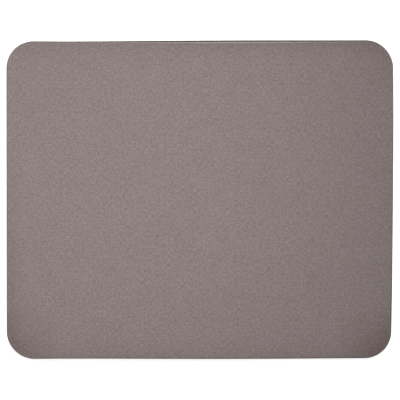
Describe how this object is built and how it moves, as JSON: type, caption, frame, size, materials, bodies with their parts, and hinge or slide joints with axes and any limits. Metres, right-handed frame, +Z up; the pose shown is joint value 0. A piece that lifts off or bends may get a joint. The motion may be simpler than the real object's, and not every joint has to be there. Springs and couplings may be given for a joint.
{
  "type": "mouse pad",
  "caption": "Rounded rectangular desk mouse pad: cloth running surface bonded to a sponge rubber core on a wave-grooved anti-slip rubber base.",
  "frame": {"origin": "on the desk, under the middle of the pad", "axes": "+X along the long side, to the right for the person at the desk; +Y away from that person; +Z up, out of the cloth"},
  "size_m": [0.23, 0.19, 0.005],
  "materials": {
    "cloth": "matte",
    "film": "satin",
    "sponge": "matte",
    "rubber": "matte"
  },
  "bodies": {
    "root": {"cloth_top": "cloth", "bond_film": "film", "foam_core": "sponge", "grip_skin": "rubber"}
  },
  "joints": []
}
